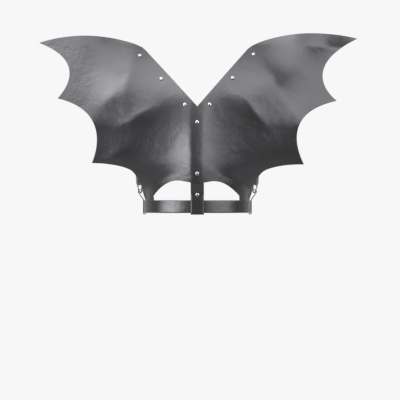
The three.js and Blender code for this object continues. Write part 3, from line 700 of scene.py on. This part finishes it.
def shoulder_strap(side):
    """Sections of a strap: inside the panel, then free over the shoulder, then folded round its ring."""
    wing = WINGS[side]
    sign = wing["sign"]
    along = np.linspace(*STRAP_RUN, STRAP_ROWS)[:, None]
    x, z = neck_place(wing, along, STRAP_INSET + sign * strip_spread(STRAP_WIDTH))
    under_panel = panel_point(x, z, STRAP_OFFSET + STRIP_RISE * STRAP_THICKNESS)
    x, z = neck_place(wing, along[[-LEAD_ROWS, -1], 0], STRAP_INSET)
    folded = folded_end(sign)
    mirrored = np.array([sign, 1, 1])
    route = mirrored * np.stack([SHOULDER_ROUTE[name] for name in ("x", "y", "z")], axis=-1)
    route_out = mirrored * np.stack([SHOULDER_ROUTE[name] for name in ("out_x", "out_y", "out_z")], axis=-1)
    _, ring_across, _, ring_out = ring_frame(sign)
    controls = np.concatenate([panel_point(x, z, STRAP_OFFSET), route, folded[:2]])
    outs = np.concatenate([panel_normal(x, z), unit(route_out), [ring_out, ring_out]])
    widths = np.concatenate([[STRAP_WIDTH] * 2, SHOULDER_ROUTE["width"], [STRAP_END_WIDTH] * 2])
    path = smooth_path(controls, ROUTE_STEPS)
    width = between(widths, ROUTE_STEPS)
    across = unit(np.cross(np.gradient(path, axis=0), between(outs, ROUTE_STEPS)))
    free = slice(ROUTE_STEPS + 2, -ROUTE_STEPS - 1)
    fold = smooth_path(folded, EYE_STEPS)
    loose = strip(
        np.concatenate([path[free], fold]),
        np.concatenate([across[free], np.broadcast_to(-ring_across, fold.shape)]),
        np.concatenate([width[free], np.full(len(fold), STRAP_END_WIDTH)]),
        STRAP_THICKNESS,
    )
    return np.concatenate([under_panel, loose])


strap_leather = leather("strap_leather", gloss=0.33)
for side in WINGS:
    fit(
        strip_piece(f"shoulder_strap_{side}_leather", shoulder_strap(side)),
        f"shoulder_strap_{side}", strap_leather,
    )


# Waist belt. A leather strap that runs right round the waist, 28 mm high, and lies over the panel's tabs.
# It is one closed loop on an ellipse, with the strap's rounded edges.
BELT_HALF_WIDTH, BELT_HALF_DEPTH = 118.4, 86.2
BELT_Z = -345.6
BELT_HEIGHT = 28.0
BELT_THICKNESS = 2.2
BELT_STEPS = 240


def closed_strip(middle, across, width, thickness):
    """Sections of a strip that joins its own end, all spread along one direction."""
    lapped = np.concatenate([middle[-1:], middle, middle[:1]])
    return strip(lapped, np.broadcast_to(across, lapped.shape), width, thickness)[1:-1]


def waist_belt():
    """Sections of the belt: its strip carried round a level ellipse."""
    angle = full_turn(BELT_STEPS)
    around = [BELT_HALF_WIDTH * np.cos(angle), BELT_HALF_DEPTH * np.sin(angle), np.full(BELT_STEPS, BELT_Z)]
    return closed_strip(np.stack(around, axis=-1), (0.0, 0.0, -1.0), BELT_HEIGHT, BELT_THICKNESS)


fit(
    strip_piece("waist_belt_leather", waist_belt(), closed=True),
    "waist_belt", strap_leather,
)


# Centre strap. A leather strip under the middle of the panel that comes out below it, goes over the belt,
# turns under it and comes up behind it to a rivet. Below the panel it is bowed like the belt.
CENTRE_WIDTH = 29.0
CENTRE_TOP, CENTRE_PANEL_END, CENTRE_FOLD_TOP = -148, -288, -309
CENTRE_ROWS = 48
CENTRE_STEPS = 6
SAG_RADIUS = 162
GAP = 0.3
BELT_TOP, BELT_BOTTOM = BELT_Z + BELT_HEIGHT / 2, BELT_Z - BELT_HEIGHT / 2 - GAP
BELT_REACH = BELT_THICKNESS / 2 + GAP + STRAP_THICKNESS / 2

# Heights above the belt's top: where the strap has come in to the belt, where it lies on it, where it leaves
# it again behind, and where the two layers meet.
NEARS_BELT, MEETS_BELT, LEAVES_BELT, LAYERS_MEET = 16, 2, 1, 7


def centre_strap():
    """Sections of the strap: inside the panel, then along a path over, under and behind the belt."""
    z = np.linspace(CENTRE_TOP, CENTRE_PANEL_END, CENTRE_ROWS)[:, None]
    under_panel = panel_point(-strip_spread(CENTRE_WIDTH), z, STRAP_OFFSET + STRIP_RISE * STRAP_THICKNESS)
    over = [BELT_TOP + NEARS_BELT, BELT_TOP + MEETS_BELT, BELT_Z]
    under = BELT_BOTTOM - BELT_REACH * np.sin(FOLD_TURN)
    behind = [BELT_Z, BELT_TOP + LEAVES_BELT]
    closed = [BELT_TOP + LAYERS_MEET, CENTRE_FOLD_TOP]
    reach = np.concatenate([[-1] * len(over), -np.cos(FOLD_TURN), [1] * len(behind)]) * BELT_REACH
    layer = [STRAP_THICKNESS + GAP - BELT_REACH] * len(closed)
    fold_y = np.concatenate([reach, layer]) - BELT_HALF_DEPTH
    fold_z = np.concatenate([over, under, behind, closed])
    fold = np.stack([np.zeros_like(fold_y), fold_y, fold_z], axis=-1)
    controls = np.concatenate([panel_point(0, z[-2:, 0], STRAP_OFFSET), fold])
    path = smooth_path(controls, CENTRE_STEPS)[CENTRE_STEPS + 1 :]
    sections = strip(path, np.broadcast_to((-1.0, 0.0, 0.0), path.shape), CENTRE_WIDTH, STRAP_THICKNESS)
    sections[..., 1] += sections[..., 0] ** 2 / (2 * SAG_RADIUS)
    return np.concatenate([under_panel, sections])


fit(
    strip_piece("centre_strap_leather", centre_strap()),
    "centre_strap", strap_leather,
)


# Side loops. A short leather loop at each side that holds the ring to the belt: round the belt's lower edge,
# up past it on both faces, and round the ring's wire.
LOOP_WIDTH = 11.0
LOOP_THICKNESS = 1.8
LOOP_EYE_RADIUS, LOOP_EYE_RISE = 4.7, 0.9
LOOP_PAST_BELT = 1
LOOP_SIDE_STEPS = 7
LOOP_TURN = np.linspace(0, np.pi, 17)


def side_loop(sign):
    """Sections of a loop: half turns under the belt and over the wire, joined by straights."""
    middle, _, up, _ = ring_frame(sign)
    wire = middle - up * RING_RADIUS
    far_edge = RING_MIDDLE[1] + LOOP_WIDTH / 2
    bow = BELT_HALF_WIDTH * (1 - np.sqrt(1 - (far_edge / BELT_HALF_DEPTH) ** 2))
    lower = (BELT_THICKNESS + bow) / 2 + GAP + LOOP_THICKNESS / 2
    upper = LOOP_EYE_RADIUS + LOOP_THICKNESS / 2
    belt_x = sign * (BELT_HALF_WIDTH - bow / 2)
    belt_sides = np.linspace(BELT_BOTTOM, BELT_TOP + LOOP_PAST_BELT, LOOP_SIDE_STEPS + 1)[1:]
    x = [belt_x - lower * np.cos(LOOP_TURN), np.full(LOOP_SIDE_STEPS, belt_x + lower)]
    x += [wire[0] + upper * np.cos(LOOP_TURN), np.full(LOOP_SIDE_STEPS, belt_x - lower)]
    z = [BELT_BOTTOM - lower * np.sin(LOOP_TURN), belt_sides]
    z += [wire[2] + LOOP_EYE_RISE + upper * np.sin(LOOP_TURN), belt_sides[::-1]]
    x, z = np.concatenate(x), np.concatenate(z)
    path = np.stack([x, np.full_like(x, RING_MIDDLE[1]), z], axis=-1)
    return closed_strip(path, (0.0, 1.0, 0.0), LOOP_WIDTH, LOOP_THICKNESS)


for side, wing in WINGS.items():
    fit(
        strip_piece(f"side_loop_{side}_leather", side_loop(wing["sign"]), closed=True),
        f"side_loop_{side}", strap_leather,
    )


# Side rings. A round nickel-plated wire ring hangs between the strap end and the loop at each side.
# Each is a plain ring of wire.
NICKEL_DARK = (0.27, 0.265, 0.26, 1)
NICKEL_PALE = (0.39, 0.385, 0.375, 1)
PEEL_DEPTH = 0.00008
RING_STEPS, WIRE_SIDES = 72, 16


def nickel(name):
    """Nickel plate, a little dulled: smooth metal with faint clouds and a slight orange-peel."""
    made = Finish(name)
    place = made.add("ShaderNodeTexCoord", output="Object")
    cloud = made.noise(Vector=place, Scale=160, Detail=4)
    fine = made.noise(Vector=place, Scale=1500, Detail=3)
    tone = made.blend(cloud, NICKEL_DARK, NICKEL_PALE)
    peel = made.bump(Strength=0.25, Distance=PEEL_DEPTH, Height=fine)
    return made.finish(Base_Color=tone, Metallic=1, Roughness=0.10 + 0.12 * cloud, Normal=peel)


def wire_ring(sign):
    """A ring of wire: circles of the wire's radius carried round the ring's circle."""
    middle, across, up, out = ring_frame(sign)
    round_ring = full_turn(RING_STEPS)[:, None, None]
    round_wire = full_turn(WIRE_SIDES)[None, :, None]
    spoke = np.cos(round_ring) * across + np.sin(round_ring) * up
    reach = RING_RADIUS + RING_WIRE * np.cos(round_wire)
    return middle + spoke * reach + out * RING_WIRE * np.sin(round_wire)


plate = nickel("nickel_plate")


def metal_piece(name, sections, node, closed=False):
    """A nickel piece from its sections, in place of its node."""
    points = sections.reshape(-1, 3)
    piece = new_piece(name, points, skin(sections, closed), np.zeros(len(points)))
    return fit(piece, node, plate)


for side, wing in WINGS.items():
    metal_piece(f"side_ring_{side}_wire", wire_ring(wing["sign"]), f"side_ring_{side}", closed=True)


# Belt clasp. A plain nickel sleeve that closes the belt at the front, where the harness isn't seen.
# It is a strip bent round the belt with small corners.
CLASP_LENGTH, CLASP_HEIGHT, CLASP_WALL, CLASP_SPARE, CLASP_CORNER = 30.0, 35.0, 2.0, 0.4, 2.4
CORNER_STEPS = 7


def belt_clasp():
    """Sections of the sleeve: its wall carried round a rectangle with rounded corners."""
    bow = BELT_HALF_DEPTH * (1 - np.sqrt(1 - (CLASP_LENGTH / 2 / BELT_HALF_WIDTH) ** 2))
    back = BELT_HALF_DEPTH - BELT_THICKNESS / 2 - bow - CLASP_SPARE - CLASP_WALL / 2
    front = BELT_HALF_DEPTH + BELT_THICKNESS / 2 + CLASP_SPARE + CLASP_WALL / 2
    corner = np.linspace(0, np.pi / 2, CORNER_STEPS)
    angle = np.concatenate([corner + quarter * np.pi / 2 for quarter in range(4)])
    half_depth = (front - back) / 2 - CLASP_CORNER
    half_height = (CLASP_HEIGHT - CLASP_WALL) / 2 - CLASP_CORNER
    corner_y = np.repeat([1, -1, -1, 1], CORNER_STEPS) * half_depth
    corner_z = np.repeat([1, 1, -1, -1], CORNER_STEPS) * half_height
    y = (front + back) / 2 + corner_y + CLASP_CORNER * np.cos(angle)
    z = BELT_Z + corner_z + CLASP_CORNER * np.sin(angle)
    path = np.stack([np.zeros_like(y), y, z], axis=-1)
    return closed_strip(path, (1.0, 0.0, 0.0), CLASP_LENGTH, CLASP_WALL)


metal_piece("belt_clasp_sleeve", belt_clasp(), "belt_clasp", closed=True)


# Rivets. Nickel rivets with a domed head on the outside, a post through the leather and a flat cap inside.
# Each is a profile turned round its post.
RIVET_SEAT = 0.4
RIVET_SIDES = 28
RIVET_TIP, RIVET_CHAMFER = 0.02, 0.2
HEAD_RADIUS, HEAD_HEIGHT, HEAD_RIM = 4.5, 2.4, 0.35
HEAD_DOME = np.linspace(0, np.pi / 2, 9)
POST_RADIUS = 1.5
CAP_RADIUS, CAP_HEIGHT = 3.6, 1.0
PANEL_GRIP = PANEL_THICKNESS + LAYER_GAP + STRAP_THICKNESS
END_GRIP = 2 * EYE_LAYER + STRAP_THICKNESS
BELT_GRIP = 2 * STRAP_THICKNESS + GAP
NECK_RIVETS = (21, 99, 171)
CENTRE_RIVETS = (-162, -274)
BELT_RIVET_Z = -319.5
END_RIVET = 21


def rivet(middle, out, grip):
    """A rivet: circles whose radius and height follow its profile, round the direction out of the leather."""
    head = grip / 2 + RIVET_SEAT
    foot = -head - CAP_HEIGHT
    cap_radii = [RIVET_TIP, CAP_RADIUS - RIVET_CHAMFER, CAP_RADIUS, CAP_RADIUS]
    cap_heights = [foot, foot, foot + RIVET_CHAMFER, -head]
    post_radii = [POST_RADIUS, POST_RADIUS, HEAD_RADIUS - RIVET_CHAMFER]
    post_heights = [-head, head, head]
    dome_radii = np.append(HEAD_RADIUS * np.cos(HEAD_DOME[:-1]), RIVET_TIP)
    dome_heights = head + HEAD_RIM + (HEAD_HEIGHT - HEAD_RIM) * np.sin(HEAD_DOME)
    radius = np.concatenate([cap_radii, post_radii, dome_radii])[:, None, None]
    height = np.concatenate([cap_heights, post_heights, dome_heights])[:, None, None]
    turn = full_turn(RIVET_SIDES)[None, :, None]
    across = unit(np.cross(out, (0.0, 0.0, 1.0)))
    spoke = np.cos(turn) * across + np.sin(turn) * np.cross(out, across)
    return middle + spoke * radius + out * height


def panel_rivet(name, x, z):
    """A rivet through the panel and the strap under it."""
    x, z = np.asarray(x, float), np.asarray(z, float)
    middle = panel_point(x, z, PANEL_THICKNESS / 2 - PANEL_GRIP / 2)
    metal_piece(f"{name}_nickel", rivet(middle, panel_normal(x, z, HEAD_RADIUS), PANEL_GRIP), name)


for side, wing in WINGS.items():
    for count, along in enumerate(NECK_RIVETS, 1):
        panel_rivet(f"rivet_neck_{side}_{count}", *neck_place(wing, along, STRAP_INSET))
    ring_middle, _, ring_up, ring_out = ring_frame(wing["sign"])
    end_rivet = rivet(ring_middle + ring_up * (RING_RADIUS + END_RIVET), ring_out, END_GRIP)
    metal_piece(f"rivet_strap_end_{side}_nickel", end_rivet, f"rivet_strap_end_{side}")
for count, z in enumerate(CENTRE_RIVETS, 1):
    panel_rivet(f"rivet_centre_{count}", 0, z)
fold_middle = np.array([0, -BELT_HALF_DEPTH - BELT_REACH + (STRAP_THICKNESS + GAP) / 2, BELT_RIVET_Z])
metal_piece("rivet_belt_nickel", rivet(fold_middle, np.array([0.0, -1.0, 0.0]), BELT_GRIP), "rivet_belt")
